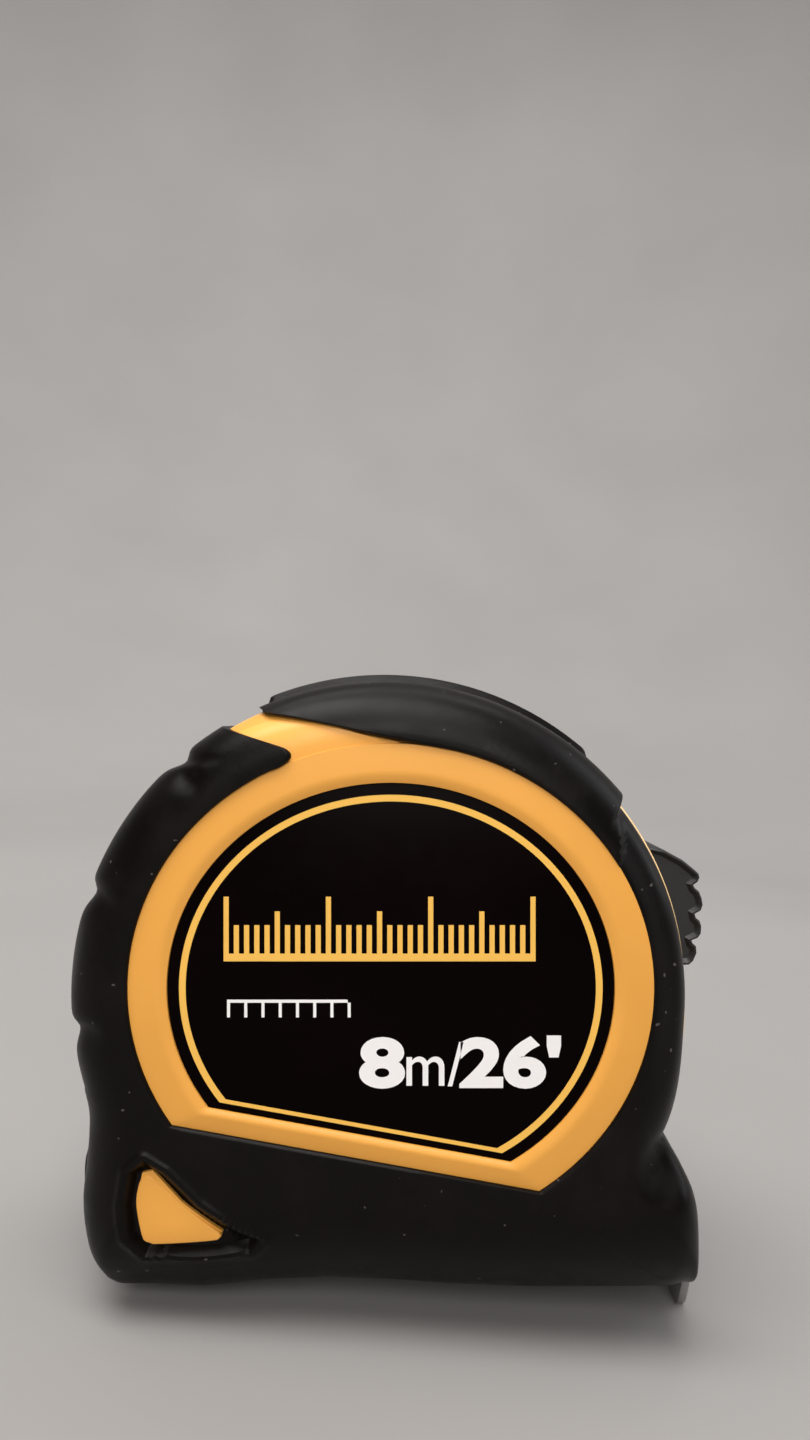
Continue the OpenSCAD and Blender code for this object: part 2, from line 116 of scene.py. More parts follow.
def ring_point(degrees, inset=0.0):
    a = math.radians(degrees)
    return RING_X + (RING_A - inset) * math.cos(a), RING_Z + (RING_B - inset) * math.sin(a)


def curve_through(points, step):
    """A smooth line through the points, with a sample about every step."""
    p = np.array([points[0], *points, points[-1]], float)
    out = []
    for i in range(1, len(p) - 2):
        a, b, c, d = p[i - 1], p[i], p[i + 1], p[i + 2]
        count = max(1, int(np.linalg.norm(c - b) / step))
        for t in np.arange(count) / count:
            bend = (2 * a - 5 * b + 4 * c - d) + t * (3 * (b - c) + d - a)
            out.append(b + 0.5 * t * ((c - a) + t * bend))
    return out + [p[-1]]


def case_outline():
    """The case seen from the side, anticlockwise from the waist above the mouth."""
    first = math.degrees(math.atan2(FOOT[-1][1] - AXIS_Z, FOOT[-1][0]))
    last = math.degrees(math.atan2(FOOT[0][1] - AXIS_Z, FOOT[0][0])) % 360
    arc = [rim_point(a) for a in np.linspace(first, last, 640)]
    return np.array(arc[:-1] + curve_through(FOOT, 0.25), float)


class Route:
    """A line in X and Z that can be read by its length."""

    def __init__(self, points):
        self.p = np.array(points, float)
        steps = np.linalg.norm(np.diff(self.p, axis=0), axis=1)
        self.s = np.concatenate([[0], np.cumsum(steps)])
        self.length = self.s[-1]

    def at(self, s):
        return np.stack([np.interp(s, self.s, self.p[:, k]) for k in (0, 1)], axis=-1)

    def near(self, point):
        return self.s[np.argmin(np.linalg.norm(self.p - np.array(point), axis=1))]

    def outward(self, s):
        """Unit normal to the right of the line, softened over a millimetre."""
        ahead = self.at(np.minimum(s + 0.5, self.length)) - self.at(np.maximum(s - 0.5, 0))
        ahead /= np.linalg.norm(ahead, axis=1)[:, None]
        return np.stack([ahead[:, 1], -ahead[:, 0]], axis=-1)


OUTLINE = case_outline()


def turned(outline, start):
    """The closed outline, opened at the sample nearest to start."""
    i = int(np.argmin(np.linalg.norm(outline - np.array(start), axis=1)))
    body = outline[:-1] if np.allclose(outline[0], outline[-1], atol=0.01) else outline
    i = min(i, len(body) - 1)
    return np.concatenate([body[i:], body[:i], body[i:i + 1]])


def depth_inside(x, z):
    """Distance from points to the case's outline."""
    a = OUTLINE
    b = np.roll(OUTLINE, -1, axis=0)
    ab = b - a
    length = np.maximum((ab ** 2).sum(1), 1e-12)
    q = np.stack([np.ravel(x), np.ravel(z)], axis=-1)
    best = np.empty(len(q))
    for k in range(0, len(q), 1500):
        part = q[k:k + 1500, None, :]
        t = np.clip(((part - a) * ab).sum(2) / length, 0, 1)
        best[k:k + 1500] = np.sqrt((((part - a) - t[..., None] * ab) ** 2).sum(2).min(1))
    return best.reshape(np.shape(x))


def inside_by(x, z, outline):
    """How far points lie inside a closed outline of straight lines; less than 0 outside."""
    a = np.array(outline, float)
    b = np.roll(a, -1, axis=0)
    ab = b - a
    q = np.stack([np.ravel(x), np.ravel(z)], axis=-1)[:, None, :]
    t = np.clip(((q - a) * ab).sum(2) / (ab ** 2).sum(1), 0, 1)
    far = np.sqrt((((q - a) - t[..., None] * ab) ** 2).sum(2).min(1))
    qx, qz = q[..., 0], q[..., 1]
    crosses = ((a[:, 1] > qz) != (b[:, 1] > qz))
    slope = ab[:, 0] / np.where(ab[:, 1] == 0, 1e-9, ab[:, 1])
    left = qx < a[:, 0] + (qz - a[:, 1]) * slope
    inside = (crosses & left).sum(1) % 2 == 1
    return np.where(inside, far, -far).reshape(np.shape(x))


def edge_radius(x, z):
    """Radius of the rounding between rim and face, which changes along the case."""
    return EDGE_R - 1.8 * smooth(30, 36, x) * smooth(20, 14, z)


def base_line(x):
    """Height of the underside along the case."""
    low = [p for p in FOOT if p[1] < 1.3]
    return np.interp(x, [p[0] for p in low], [p[1] for p in low])


def face_height(x, z):
    """Distance of the plain face from the seam plane."""
    e = edge_radius(x, z)
    d = np.clip(depth_inside(x, z), 0, None)
    short = np.clip(e - d, 0, None)
    side = HALF_T - e + np.sqrt(np.maximum(e * e - short * short, 0))
    under = np.clip(BASE_EDGE_R - z + base_line(x), 0, BASE_EDGE_R)
    base = HALF_T - BASE_EDGE_R + np.sqrt(BASE_EDGE_R ** 2 - under ** 2)
    gap = np.clip(1 - np.abs(side - base) / 2.0, 0, 1)
    return np.minimum(side, base) - 0.3 * gap * gap * smooth(HALF_T, HALF_T - 2, np.minimum(side, base))


def angle_of(x, z):
    """Angle round the spool axis in degrees, from -90 at the base to 270."""
    return (np.degrees(np.arctan2(z - AXIS_Z, x)) + 90) % 360 - 90


NOTCHES = (130.6, 160.3, 185.9)


def notch(x, z):
    """0 to 1 across the finger notches of the heel side."""
    a = angle_of(x, z)
    out = 0
    for centre in NOTCHES:
        across = (a - centre) * math.radians(1) * CASE_R
        out = out + np.exp(-(across / np.where(across < 0, 1.0, 1.9)) ** 2)
    return out


def lock_dip(x, z):
    """0 to 1 where the rubber is cut lower beside the thumb lock."""
    a = angle_of(x, z)
    r = np.hypot(x, z - AXIS_Z)
    edge = 38.2 - (36.4 - np.minimum(r, 36.9)) * 1.75
    return smooth(edge + 0.8, edge - 0.8, a) * smooth(-26, -4, a) * smooth(30.0, 35.0, r)


def face_detail(x, z, front):
    """What dips below the plain face: notches, lock dip, dimple, hollow round the window."""
    r = np.hypot(x, z - AXIS_Z)
    dip = 1.0 * notch(x, z) * smooth(31.6, 35.6, r)
    dip = dip + 1.3 * lock_dip(x, z)
    scoop = np.hypot(x - 33.0, z - 18.6) / 4.4
    dip = dip + 1.5 * np.clip(1 - scoop ** 2, 0, None) ** 2
    if front:
        inside = inside_by(x, z, HOLLOW)
        dip = dip + 1.35 * smooth(-0.3, 0.9, inside) - 0.3 * np.exp(-((inside + 0.75) / 0.45) ** 2)
    return dip


def rim_rise(x, z, y):
    """How far the rim stands out from the outline, at a distance y from the seam."""
    a = angle_of(x, z)
    top = smooth(46.5, 49.5, a) * smooth(113.2, 111.5, a)
    ridge = top * smooth(RIDGE_Y + 0.5, RIDGE_Y - 0.3, y)
    groove = top * np.exp(-((y - 10.1) / 0.55) ** 2) * 0.45
    heel = 1.75 * smooth(24, 15, z) * smooth(1.0, 8.0, z) * smooth(-27, -33, x)
    heel = heel * smooth(RIDGE_Y + 0.8, RIDGE_Y - 0.6, y)
    seam = 0.35 * np.exp(-(y / 0.25) ** 2)
    return ridge + heel - groove - seam - 0.95 * notch(x, z) - 1.25 * lock_dip(x, z)


# ---------------------------------------------------------------- mesh helpers

def new_piece(name, bm, body, slot, *materials):
    """Turns a bmesh in millimetres into a finished piece in metres that rides on a body."""
    bmesh.ops.scale(bm, vec=(MM, MM, MM), verts=bm.verts)
    mesh = bpy.data.meshes.new(name)
    bm.to_mesh(mesh)
    bm.free()
    for material in materials:
        mesh.materials.append(material)
    for face in mesh.polygons:
        face.use_smooth = True
    mesh.set_sharp_from_angle(angle=math.radians(32))
    piece = bpy.data.objects.new(name, mesh)
    bpy.context.scene.collection.objects.link(piece)
    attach(piece, body)
    return piece


def grid_of(points):
    """A sheet of faces whose corners are points[i][j]."""
    rows, columns = points.shape[:2]
    bm = bmesh.new()
    bmesh.ops.create_grid(bm, x_segments=rows - 1, y_segments=columns - 1, size=1)
    for vert in bm.verts:
        i = round((vert.co.x + 1) / 2 * (rows - 1))
        j = round((vert.co.y + 1) / 2 * (columns - 1))
        vert.co = points[i, j]
    return bm


def closed_up(bm, gap=0.004):
    """Merges seams, closes open ends and turns the faces outwards."""
    bmesh.ops.remove_doubles(bm, verts=bm.verts, dist=gap)
    bmesh.ops.dissolve_degenerate(bm, dist=gap / 4, edges=bm.edges)
    open_edges = [e for e in bm.edges if e.is_boundary]
    if open_edges:
        bmesh.ops.holes_fill(bm, edges=open_edges, sides=0)
    bmesh.ops.recalc_face_normals(bm, faces=bm.faces)
    return bm


def plate(outline, y_top, y_low):
    """A flat plate in X and Z between two depths. Returns the bmesh and its top face's edges."""
    bm = bmesh.new()
    verts = [bm.verts.new((x, y_low, z)) for x, z in outline]
    base = bm.faces.new(verts)
    grown = bmesh.ops.extrude_face_region(bm, geom=[base])
    top = [v for v in grown["geom"] if isinstance(v, bmesh.types.BMVert)]
    bmesh.ops.translate(bm, verts=top, vec=(0, y_top - y_low, 0))
    bmesh.ops.recalc_face_normals(bm, faces=bm.faces)
    edges = [e for e in bm.edges if all(abs(v.co.y - y_top) < 1e-4 for v in e.verts)]
    return bm, edges


def bevel_edges(bm, edges, width, segments=3):
    bmesh.ops.bevel(bm, geom=edges, offset=width, offset_type="OFFSET", segments=segments, profile=0.5,
                    affect="EDGES", material=-1, clamp_overlap=True)


def sharp_edges(bm, degrees):
    limit = math.radians(degrees)
    return [e for e in bm.edges if len(e.link_faces) == 2 and e.calc_face_angle(0) > limit]


def refined(node, name, body, slot, width, segments, *materials):
    """A copy of a CAD node with its edges broken, which then stands for the node."""
    bm = bmesh.new()
    bm.from_mesh(frame["nodes"][node].data)
    bmesh.ops.scale(bm, vec=(1 / MM,) * 3, verts=bm.verts)
    bmesh.ops.remove_doubles(bm, verts=bm.verts, dist=0.002)
    bmesh.ops.dissolve_degenerate(bm, dist=0.001, edges=bm.edges)
    bmesh.ops.dissolve_limit(bm, angle_limit=math.radians(0.6), verts=bm.verts, edges=bm.edges)
    bevel_edges(bm, sharp_edges(bm, 38), width, segments)
    piece = new_piece(name, bm, body, slot, *materials)
    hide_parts(node)


# ---------------------------------------------------------------- materials

def shader(name, colour, roughness, metallic=0.0, coat=0.0, coat_rough=0.1, gloss=0.5):
    """A new material with its main shader set, and short ways to add nodes."""
    made = bpy.data.materials.new(name)
    made.use_nodes = True
    bsdf = made.node_tree.nodes["Principled BSDF"]
    bsdf.inputs["Base Color"].default_value = (*colour, 1)
    bsdf.inputs["Roughness"].default_value = roughness
    bsdf.inputs["Metallic"].default_value = metallic
    bsdf.inputs["Coat Weight"].default_value = coat
    bsdf.inputs["Specular IOR Level"].default_value = gloss
    bsdf.inputs["Coat Roughness"].default_value = coat_rough
    made.diffuse_color = (*colour, 1)
    return made, bsdf


def add(material, kind, **values):
    """Adds a node and sets its properties or its inputs."""
    node = material.node_tree.nodes.new(kind)
    for key, value in values.items():
        if hasattr(node, key):
            setattr(node, key, value)
        else:
            node.inputs[key.replace("_", " ")].default_value = value
    return node


def join(material, source, target):
    material.node_tree.links.new(source, target)


def place(material, scale=(1, 1, 1)):
    """Object coordinates in metres, stretched by scale."""
    coords = add(material, "ShaderNodeTexCoord")
    mapping = add(material, "ShaderNodeMapping", Scale=scale)
    join(material, coords.outputs["Object"], mapping.inputs["Vector"])
    return mapping.outputs["Vector"]


def noise(material, scale, detail=3.0, rough=0.5, stretch=(1, 1, 1)):
    node = add(material, "ShaderNodeTexNoise", Scale=scale, Detail=detail, Roughness=rough)
    join(material, place(material, stretch), node.inputs["Vector"])
    return node.outputs["Fac"]


def ramp(material, source, stops):
    """Maps a value to colours; stops are (position, colour)."""
    node = add(material, "ShaderNodeValToRGB")
    elements = node.color_ramp.elements
    while len(elements) < len(stops):
        elements.new(0.5)
    for element, (position, colour) in zip(elements, stops):
        element.position = position
        element.color = (*colour, 1) if len(colour) == 3 else colour
    join(material, source, node.inputs["Fac"])
    return node.outputs["Color"]


def spread(material, source, low, high, to_low, to_high):
    node = add(material, "ShaderNodeMapRange")
    for key, value in (("From Min", low), ("From Max", high), ("To Min", to_low), ("To Max", to_high)):
        node.inputs[key].default_value = value
    join(material, source, node.inputs["Value"])
    return node.outputs["Result"]


def maths(material, operation, a, b=None):
    node = add(material, "ShaderNodeMath", operation=operation)
    for socket, value in zip(node.inputs, (a, b)):
        if value is None:
            continue
        if isinstance(value, (int, float)):
            socket.default_value = value
        else:
            join(material, value, socket)
    return node.outputs[0]


def bump(material, bsdf, height, strength, distance):
    node = add(material, "ShaderNodeBump", Strength=strength, Distance=distance)
    join(material, height, node.inputs["Height"])
    join(material, node.outputs["Normal"], bsdf.inputs["Normal"])


def tint(colour, factor):
    return tuple(min(1, c * factor) for c in colour)


def moulded(name, colour, roughness, spread_share=0.08, coat=0.0, grain=2600, grain_strength=0.12, gloss=0.5):
    """Injection moulded plastic: slightly uneven colour, fine spark grain, faint handling marks."""
    made, bsdf = shader(name, colour, roughness, coat=coat, gloss=gloss)
    patches = noise(made, 60, 4)
    darker, lighter = tint(colour, 1 - spread_share), tint(colour, 1 + spread_share)
    colours = ramp(made, patches, [(0.3, darker), (0.7, lighter)])
    join(made, colours, bsdf.inputs["Base Color"])
    marks = noise(made, 320, 5, 0.65)
    join(made, spread(made, marks, 0.3, 0.7, roughness - 0.05, roughness + 0.07), bsdf.inputs["Roughness"])
    bump(made, bsdf, noise(made, grain, 2), grain_strength, 0.00006)
    return made


def rubber(name, colour):
    """Soft black rubber: matt, with fine grain, rubbed patches and specks of dust."""
    made, bsdf = shader(name, colour, 0.5, gloss=0.14)
    dust_noise = noise(made, 900, 1.0, 0.4)
    dust = spread(made, dust_noise, 0.775, 0.80, 0, 1)
    rubbed = spread(made, noise(made, 130, 6, 0.62), 0.45, 0.75, 0, 1)
    base = add(made, "ShaderNodeMix", data_type="RGBA")
    base.inputs[6].default_value = (*colour, 1)
    base.inputs[7].default_value = (*tint(colour, 1.9), 1)
    join(made, rubbed, base.inputs[0])
    specks = add(made, "ShaderNodeMix", data_type="RGBA")
    join(made, dust, specks.inputs[0])
    join(made, base.outputs[2], specks.inputs[6])
    specks.inputs[7].default_value = (0.08, 0.072, 0.066, 1)
    join(made, specks.outputs[2], bsdf.inputs["Base Color"])
    join(made, spread(made, rubbed, 0, 1, 0.36, 0.52), bsdf.inputs["Roughness"])
    bump(made, bsdf, noise(made, 1500, 4, 0.6), 0.22, 0.0001)
    return made


def brushed(name, colour, roughness, along=(1, 1, 1)):
    """Rolled steel with fine drawn lines and light smudges."""
    made, bsdf = shader(name, colour, roughness, metallic=1.0)
    lines = noise(made, 900, 3, 0.6, along)
    join(made, spread(made, lines, 0.3, 0.7, roughness - 0.08, roughness + 0.12), bsdf.inputs["Roughness"])
    smudge = noise(made, 110, 5)
    join(made, ramp(made, smudge, [(0.35, tint(colour, 0.82)), (0.7, colour)]), bsdf.inputs["Base Color"])
    bump(made, bsdf, lines, 0.1, 0.00004)
    return made


def printed_blade():
    """Yellow lacquered blade with millimetre, half and whole centimetre marks on both edges."""
    colour = (0.80, 0.50, 0.05)
    made, bsdf = shader("blade_lacquer", colour, 0.3, coat=0.4)
    coords = add(made, "ShaderNodeTexCoord")
    parts = add(made, "ShaderNodeSeparateXYZ")
    join(made, coords.outputs["Object"], parts.inputs["Vector"])
    reach = maths(made, "MULTIPLY", maths(made, "SUBTRACT", tail_high.x * MM, parts.outputs["X"]), 1000)
    side = maths(made, "ABSOLUTE", parts.outputs["Y"])
    ink = 0.0
    for every, line, length in ((1, 0.16, 2.6), (5, 0.2, 4.0), (10, 0.26, 6.2)):
        offset = maths(made, "PINGPONG", reach, every / 2)
        on_line = maths(made, "LESS_THAN", offset, line / 2)
        on_edge = maths(made, "GREATER_THAN", side, (tail_high.y - length) * MM)
        mark = maths(made, "MULTIPLY", on_line, on_edge)
        ink = mark if ink == 0.0 else maths(made, "MAXIMUM", ink, mark)
    colours = ramp(made, ink, [(0.0, colour), (1.0, (0.01, 0.01, 0.01))])
    join(made, colours, bsdf.inputs["Base Color"])
    bump(made, bsdf, noise(made, 700, 2), 0.05, 0.00004)
    return made


YELLOW = (0.79, 0.365, 0.062)
case_yellow = moulded("case_yellow", YELLOW, 0.42, 0.035, coat=0.05, gloss=0.35)
band_yellow = moulded("band_yellow", (0.90, 0.42, 0.078), 0.40, 0.03, coat=0.05, gloss=0.35)
# The rails are the yellow shell's edge; their pale cream colour is a painted highlight, not the plastic's own
# colour.
rail_cream = moulded("rail_cream", (0.92, 0.62, 0.28), 0.4, 0.03, gloss=0.4)
grip_rubber = rubber("grip_rubber", (0.0022, 0.0015, 0.0013))
label_black = moulded("label_black", (0.0020, 0.0006, 0.0006), 0.34, 0.2, grain_strength=0.03, gloss=0.03)
print_yellow = moulded("print_yellow", (0.88, 0.50, 0.085), 0.45, 0.03, grain_strength=0.04)
print_white = moulded("print_white", (0.86, 0.84, 0.84), 0.45, 0.02, grain_strength=0.04)
lock_black = moulded("lock_plastic", (0.011, 0.0115, 0.0115), 0.5, 0.2, grain_strength=0.3)
drum_black = moulded("drum_plastic", (0.02, 0.02, 0.022), 0.45, 0.15)
stop_black = rubber("stop_rubber", (0.012, 0.012, 0.012))
spring_steel = brushed("spring_steel", (0.55, 0.55, 0.56), 0.3, (0.05, 1, 1))
screw_steel = brushed("screw_steel", (0.42, 0.42, 0.44), 0.32)
hook_steel = brushed("hook_steel", (0.50, 0.49, 0.48), 0.36, (1, 1, 0.1))
guide_steel = brushed("guide_steel", (0.6, 0.6, 0.62), 0.28, (0.05, 1, 1))
blue_spring = brushed("blue_spring", (0.10, 0.14, 0.24), 0.3, (1, 0.05, 1))
blade_yellow = printed_blade()


# ---------------------------------------------------------------- rubber halves

def rubber_path(front):
    """The inner edge of the rubber on one side, and the pairs of points that tie it to the outline."""
    inset = 0 if front else REAR_INSET
    left, right = chord_corners(inset)
    corner_l = chord_point(left, inset)
    corner_r = chord_point(right, inset)
    low_l = math.degrees(ring_turn(corner_l, inset))
    low_r = math.degrees(ring_turn(corner_r, inset))
    start = 116.5 if front else 90
    end = 77 if front else 90
    ring_l = [ring_point(a, inset) for a in np.arange(start, 360 + low_l, 0.4)]
    chord = [chord_point(left + (right - left) * t, inset) for t in np.linspace(0, 1, 90)]
    ring_r = [ring_point(a, inset) for a in np.arange(low_r, end, 0.4)]
    if front:
        finger = curve_through([(-13.2, 68.75), (-11.9, 68.35), (-11.0, 67.95), (-10.55, 67.4),
                                (-10.75, 66.75), (-11.5, 66.1), (-12.3, 65.7)], 0.1)
        band_edge = curve_through([(6.4, 68.2), (1.1, 69.2), (-4.6, 70.45), (-9, 71.35), (-11.7, 71.85),
                                   (-13.6, 72.2)], 0.2)
        line = finger + ring_l[2:] + chord + ring_r + band_edge
        first = [(rim_point(121.2), (-13.2, 68.75)), (rim_point(126), (-10.6, 67.4)),
                 (rim_point(136), (-12.3, 65.7)), (rim_point(150), ring_point(143)),
                 (rim_point(180), ring_point(180))]
        last = [(rim_point(0), ring_point(-2)), (rim_point(78), ring_point(76)),
                (rim_point(100), (-1.6, 69.8)), (rim_point(113.4), (-13.6, 72.2))]
    else:
        line = ring_l + chord + ring_r + [ring_point(90, inset)]
        first = [(rim_point(90), ring_point(90, inset)), (rim_point(180), ring_point(180, inset))]
        last = [(rim_point(0), ring_point(-2, inset))]
    middle = [((-35.6, 24.4), ring_point(201, inset)), ((-36.3, 13), corner_l),
              ((-31, 1.5), chord_point(left + 0.1 * (right - left), inset)),
              ((36.2, 0.3), corner_r), ((37.77, 11), ring_point(-39, inset)),
              ((33.9, 21.6), ring_point(-24, inset))]
    return Route(line), first + middle + last


def ring_turn(point, inset):
    """Where a point of the ring's ellipse lies on it, in radians."""
    return math.atan2((point[1] - RING_Z) / (RING_B - inset), (point[0] - RING_X) / (RING_A - inset))


def chord_point(x, inset):
    return x, CHORD_Z + CHORD_STEP * inset + CHORD_SLOPE * (x - RING_X)


def chord_corners(inset):
    """X of the two corners where the ring's ellipse meets its chord."""
    a, b = RING_A - inset, RING_B - inset
    drop = CHORD_Z + CHORD_STEP * inset - RING_Z
    qa = 1 / a ** 2 + CHORD_SLOPE ** 2 / b ** 2
    qb = 2 * CHORD_SLOPE * drop / b ** 2
    qc = drop ** 2 / b ** 2 - 1
    root = math.sqrt(qb * qb - 4 * qa * qc)
    return RING_X + (-qb - root) / (2 * qa), RING_X + (-qb + root) / (2 * qa)


RIM_STEPS = (0.03, 0.35, 1.2, 3, 5, 7, 8.25, 8.35, 8.7, 9.0, 9.3, 9.6, 9.9, 10.2, 10.5, 10.9)
TURN_STEPS = 11
FACE_STEPS = 22
LIP = 0.45


def rubber_half(front):
    """One half of the rubber jacket, swept round the case as a closed section."""
    sign = -1 if front else 1
    inner, ties = rubber_path(front)
    outer = Route(turned(OUTLINE, ties[0][0]))
    s_out = [outer.near(o) for o, _ in ties]
    s_in = [inner.near(r) for _, r in ties]
    if not front:
        s_out.append(outer.length)
        s_in.append(inner.length)
    s_out[0] = 0.0
    borders = [outer.near(rim_point(a)) for a in TRACK]
    borders += [outer.near((CASE_R, MOUTH_LOW)), outer.near((CASE_R, MOUTH_HIGH))]
    s = np.arange(0, s_out[-1], 0.5)
    s = np.concatenate([s, np.arange(outer.near(rim_point(8)), outer.near(rim_point(48)), 0.13)])
    s = np.sort(np.concatenate([s, [b + k for b in borders for k in (-0.04, 0.04)], [s_out[-1]]]))
    o = outer.at(s)
    out = outer.outward(s)
    r = inner.at(np.interp(s, s_out, s_in))
    width = np.linalg.norm(r - o, axis=1)
    ruling = (r - o) / width[:, None]
    angle = angle_of(o[:, 0], o[:, 1])
    stop = np.zeros(len(s))
    in_track = (angle > TRACK[0]) & (angle < TRACK[1]) & (o[:, 1] > 18)
    stop[in_track] = RAIL_STOP
    in_mouth = (o[:, 0] > CASE_R - 0.5) & (o[:, 1] > MOUTH_LOW) & (o[:, 1] < MOUTH_HIGH)
    stop[in_mouth] = MOUTH_STOP
    e = edge_radius(o[:, 0], o[:, 1]) + (BASE_EDGE_R - EDGE_R) * smooth(-0.3, -0.9, out[:, 1])
    e = np.minimum(e, 0.85 * width)
    rim_end = face_height(o[:, 0], o[:, 1])
    rows = []
    on_face = []

    def rim_row(y, inset=0.0):
        depth = np.maximum(np.minimum(y, rim_end), stop)
        lift = rim_rise(o[:, 0], o[:, 1], depth) - inset
        flat = o + out * lift[:, None]
        rows.append(np.stack([flat[:, 0], sign * depth, flat[:, 1]], axis=-1))
        on_face.append(False)

    def face_row(along, sink=0.0, face=True):
        flat = o + ruling * along[:, None]
        plain = face_height(flat[:, 0], flat[:, 1])
        keep = np.clip(1 - along / e, 0, 1) ** 1.5
        shifted = flat + out * (rim_rise(o[:, 0], o[:, 1], np.maximum(plain, 12.0)) * keep)[:, None]
        height = plain - face_detail(flat[:, 0], flat[:, 1], front) * (1 - keep) - sink
        height = np.maximum(height, np.maximum(stop, 0.03))
        rows.append(np.stack([shifted[:, 0], sign * height, shifted[:, 1]], axis=-1))
        on_face.append(face)

    for y in RIM_STEPS:
        rim_row(np.full(len(s), float(y)))
    for k in (1, 2, 3):
        rim_row(RIM_STEPS[-1] + (rim_end - RIM_STEPS[-1]) * k / 3)
    for k in range(1, TURN_STEPS + 1):
        face_row(e * (1 - math.cos(math.pi / 2 * k / TURN_STEPS)))
    for k in range(1, FACE_STEPS + 1):
        face_row(e + (width - LIP - e) * k / FACE_STEPS)
    for degrees in (30, 60, 90):
        a = math.radians(degrees)
        face_row(width - LIP * (1 - math.sin(a)), LIP * (1 - math.cos(a)), False)
    face_row(width, GRIP_T, False)
    for k in (0.75, 0.5, 0.25):
        face_row(width * k, GRIP_T, False)
    thin = np.minimum(np.where(in_mouth, FOOT_T, GRIP_T), 0.5 * width)
    rim_row(rim_end - 0.5, thin)
    rim_row(np.full(len(s), 6.0), thin)
    rim_row(np.full(len(s), 0.03), thin)
    rows.append(rows[0].copy())
    on_face.append(False)
    points = np.stack(rows, axis=1)
    if not front:
        points[-1] = points[0]
    bm = grid_of(points)
    closed_up(bm)
    if front:
        refine_hollow(bm)
    return bm


def refine_hollow(bm):
    """Splits the faces round the small window and lays them on the hollow again."""

    def outer_faces(reach):
        bm.normal_update()
        faces = [f for f in bm.faces if f.normal.y < -0.1 and f.calc_center_median().y < -HALF_T + 5]
        x = np.array([f.calc_center_median().x for f in faces])
        z = np.array([f.calc_center_median().z for f in faces])
        return [f for f, deep in zip(faces, inside_by(x, z, HOLLOW)) if deep > -reach]

    edges = list({e for f in outer_faces(2.4) for e in f.edges})
    bmesh.ops.subdivide_edges(bm, edges=edges, cuts=3, use_grid_fill=True)
    verts = list({v for f in outer_faces(2.0) for v in f.verts})
    x = np.array([v.co.x for v in verts])
    z = np.array([v.co.z for v in verts])
    height = face_height(x, z) - face_detail(x, z, True)
    for vert, y in zip(verts, height):
        vert.co.y = -y


front_rubber = new_piece("front_rubber", rubber_half(True), "case", "grip_rubber", grip_rubber)
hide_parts("front_grip")


def screw_places():
    """Middle of each rim screw in X and Z, read from the screws' own mesh."""
    bm = bmesh.new()
    bm.from_mesh(frame["nodes"]["case_screws"].data)
    bmesh.ops.remove_doubles(bm, verts=bm.verts, dist=1e-6)
    left = set(bm.verts)
    places = []
    while left:
        group = [left.pop()]
        for vert in group:
            for other in (e.other_vert(vert) for e in vert.link_edges):
                if other in left:
                    left.remove(other)
                    group.append(other)
        x = [v.co.x / MM for v in group]
        z = [v.co.z / MM for v in group]
        places.append(((min(x) + max(x)) / 2, (min(z) + max(z)) / 2))
    bm.free()
    return places


SCREW_HOLE_R = 2.65                 # holes through the rear rubber over the rim screws
SCREW_HOLE_DEPTH = 6


def drilled(bm):
    """The rear rubber with a round hole over each rim screw."""
    target = bpy.data.meshes.new("rubber_blank")
    bm.to_mesh(target)
    bm.free()
    drill = bmesh.new()
    for x, z in screw_places():
        made = bmesh.ops.create_cone(drill, cap_ends=True, segments=48, radius1=SCREW_HOLE_R,
                                     radius2=SCREW_HOLE_R, depth=SCREW_HOLE_DEPTH)
        bmesh.ops.rotate(drill, verts=made["verts"], matrix=Matrix.Rotation(math.pi / 2, 3, "X"))
        bmesh.ops.translate(drill, verts=made["verts"], vec=(x, HALF_T, z))
    tool = bpy.data.meshes.new("drill")
    drill.to_mesh(tool)
    drill.free()
    blank = bpy.data.objects.new("rubber_blank", target)
    cutter = bpy.data.objects.new("drill", tool)
    for piece in (blank, cutter):
        bpy.context.scene.collection.objects.link(piece)
    cut = blank.modifiers.new("cut", "BOOLEAN")
    cut.operation = "DIFFERENCE"
    cut.solver = "EXACT"
    cut.object = cutter
    bpy.context.view_layer.update()
    out = bmesh.new()
    out.from_object(blank, bpy.context.evaluated_depsgraph_get())
    for piece in (blank, cutter):
        bpy.data.objects.remove(piece)
    bmesh.ops.remove_doubles(out, verts=out.verts, dist=0.002)
    return out


def rear_rubber_piece():
    bm = drilled(rubber_half(False))
    piece = new_piece("rear_rubber", bm, "case", "grip_rubber", grip_rubber)
    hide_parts("rear_grip")


rear_rubber_piece()


RAIL_FOOT = 36.2                    # radius at which the rails meet the shell
RAIL_IN, RAIL_OUT = 6.9, 8.2        # distances of a rail's sides from the seam
RAIL_ROUND = 0.2                    # small bevel along its top


